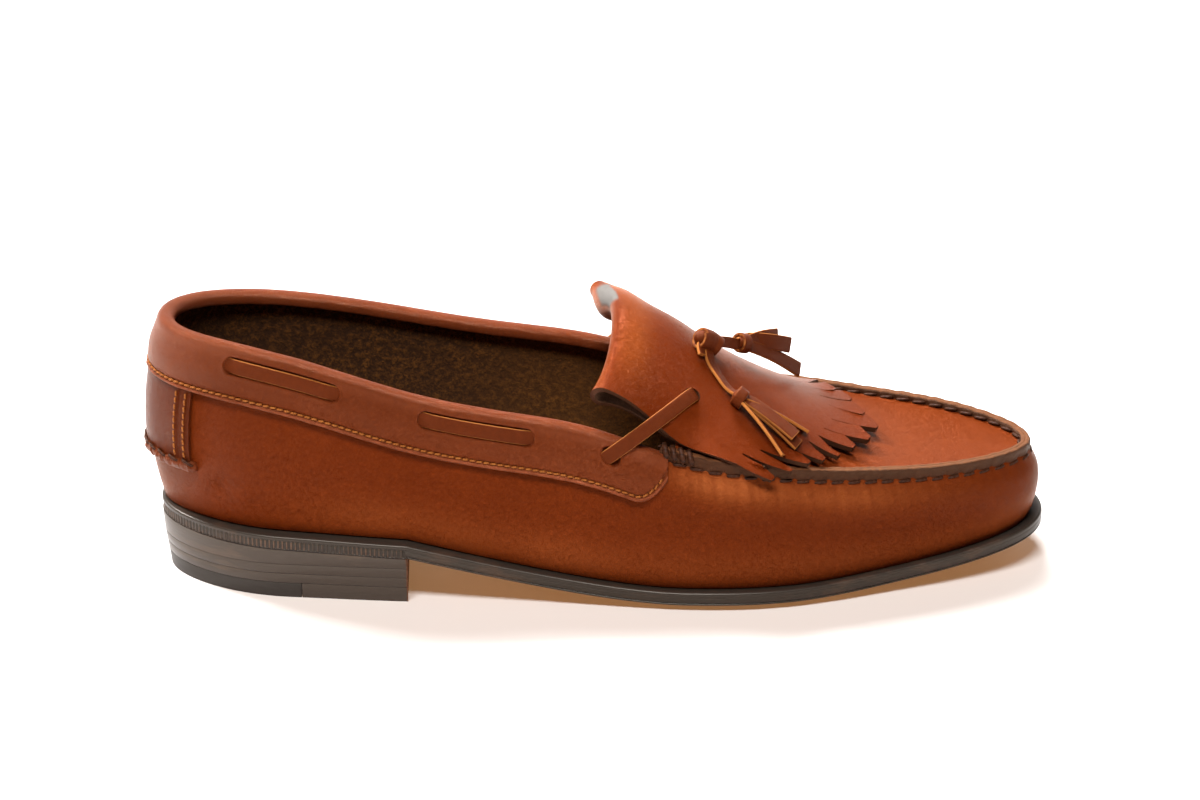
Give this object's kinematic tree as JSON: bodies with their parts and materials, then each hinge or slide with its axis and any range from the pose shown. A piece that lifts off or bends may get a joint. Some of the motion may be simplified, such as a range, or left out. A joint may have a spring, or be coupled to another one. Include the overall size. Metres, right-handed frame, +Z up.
{
  "type": "loafer",
  "caption": "Right-foot leather moccasin loafer with a raised apron seam, a laced collar band, a fringed folded flap with tassels, a leather sole and a stacked heel.",
  "frame": {"origin": "centre of the bounding box on the floor plane, measured without the loose lace ends", "axes": "+X towards the toe, -Y towards the outer side of the right foot, +Z up"},
  "size_m": [0.2992, 0.1, 0.0916],
  "materials": {
    "upper_leather": "smooth semi-gloss cognac calf",
    "band_leather": "fine-grained red-brown calf",
    "seam_leather": "gathered edge with waxed thread",
    "lace_leather": "rawhide strip with paler cut edges",
    "sole_leather": "edge-inked satin black-brown",
    "heel_leather": "stacked and edge-inked",
    "heel_rubber": "matte",
    "insole_leather": "napped brown"
  },
  "bodies": {
    "root": {"outsole": "sole_leather", "heel_lift_1": "heel_leather", "heel_lift_2": "heel_leather", "heel_lift_3": "heel_leather", "heel_top_piece": "heel_leather", "heel_rubber_tip": "heel_rubber", "insole": "insole_leather", "upper": "upper_leather", "apron_seam": "seam_leather", "collar_band": "band_leather", "heel_patch": "band_leather", "heel_seam": "seam_leather", "flap": "upper_leather", "lace_bar_outer_rear": "lace_leather", "lace_bar_outer_front": "lace_leather", "lace_bar_inner_rear": "lace_leather", "lace_bar_inner_front": "lace_leather", "lace_strap_outer": "lace_leather", "lace_strap_inner": "lace_leather", "lace_knot": "lace_leather", "lace_end_outer": "lace_leather", "lace_end_inner": "lace_leather", "tassel_outer": "lace_leather", "tassel_inner": "lace_leather"}
  },
  "joints": []
}
